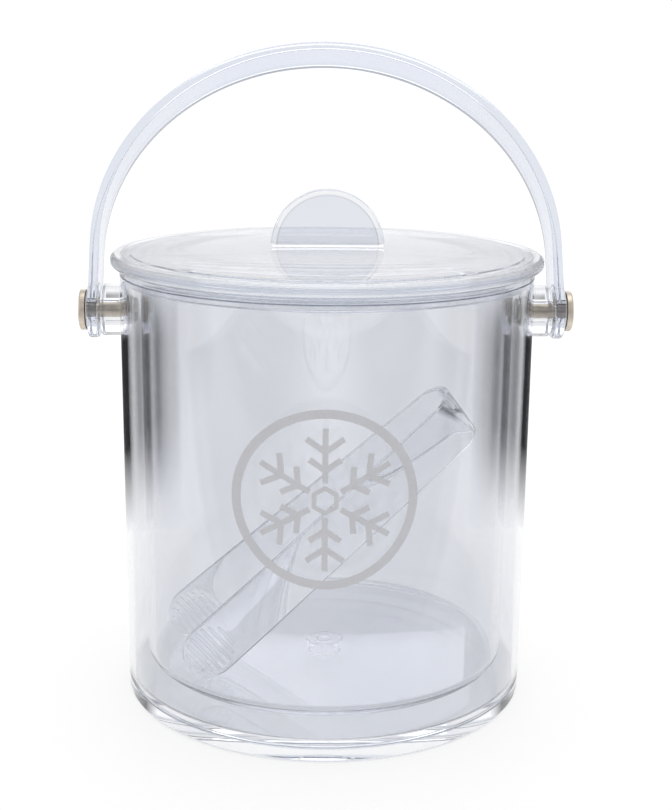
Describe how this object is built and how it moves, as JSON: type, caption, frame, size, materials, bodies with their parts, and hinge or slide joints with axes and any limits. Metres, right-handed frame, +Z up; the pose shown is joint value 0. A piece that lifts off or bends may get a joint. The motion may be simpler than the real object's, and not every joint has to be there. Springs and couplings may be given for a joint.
{
  "type": "ice bucket",
  "caption": "Clear double-wall round ice bucket with a lid, a half-disc knob, a swinging strip handle on metal pivots, and U-shaped tongs inside.",
  "frame": {"origin": "middle of the bucket's underside, on the surface that it stands on", "axes": "+Z up the bucket's axis, +X through the handle's right pivot, -Y to the front; the handle leans back towards +Y"},
  "size_m": [0.23, 0.2, 0.3055],
  "materials": {
    "clear_shell": "clear polished acrylic",
    "clear_liner": "clear moulded acrylic",
    "clear_lid": "clear polished acrylic",
    "clear_handle": "clear bent acrylic strip",
    "clear_tongs": "clear moulded acrylic",
    "satin_metal": "satin nickel, warm grey",
    "brass_washer": "satin",
    "nylon_washer": "translucent white, matte"
  },
  "bodies": {
    "bucket": {"outer_shell": "clear_shell", "base_disc": "clear_shell", "inner_liner": "clear_liner", "rim_ring": "clear_shell", "pivot_post_left": "satin_metal", "pivot_post_right": "satin_metal", "pivot_screw_left": "satin_metal", "pivot_screw_right": "satin_metal", "backing_washer_left": "satin_metal", "backing_washer_right": "satin_metal", "pivot_collar_left": "clear_handle", "pivot_collar_right": "clear_handle", "lug_washer_left": "brass_washer", "lug_washer_right": "brass_washer", "cap_washer_left": "nylon_washer", "cap_washer_right": "nylon_washer"},
    "lid": {"lid_plate": "clear_lid", "lid_locating_ring": "clear_lid", "lid_knob": "clear_lid"},
    "handle": {"handle": "clear_handle"},
    "tongs": {"tong_bow": "clear_tongs"},
    "tong_front": {"tong_front_arm": "clear_tongs"},
    "tong_rear": {"tong_rear_arm": "clear_tongs"}
  },
  "joints": [
    {"name": "handle_swing", "type": "hinge", "parent": "bucket", "child": "handle", "pos_m": [0, 0, 0.1825], "axis": [1, 0, 0], "range_deg": [-96, 152]},
    {"name": "lid_lift", "type": "slide", "parent": "bucket", "child": "lid", "axis": [0, -0.5, 0.866], "range_m": [0, 0.18]},
    {"name": "tongs_lift", "type": "slide", "parent": "bucket", "child": "tongs", "axis": [0, 0, 1], "range_m": [0, 0.05]},
    {"name": "tong_front_squeeze", "type": "hinge", "parent": "tongs", "child": "tong_front", "pos_m": [0.05873, -0.00321, 0.12491], "axis": [0.5973, 0.1601, -0.7859], "range_deg": [0, 7.8], "stiffness_Nm_per_rad": 2},
    {"name": "tong_rear_squeeze", "type": "hinge", "parent": "tongs", "child": "tong_rear", "pos_m": [0.05226, 0.02094, 0.12491], "axis": [-0.5973, -0.1601, 0.7859], "range_deg": [0, 7.8], "stiffness_Nm_per_rad": 2}
  ],
  "couplings": [
    {"joint": "tong_rear_squeeze", "follows": "tong_front_squeeze", "ratio": 1}
  ]
}
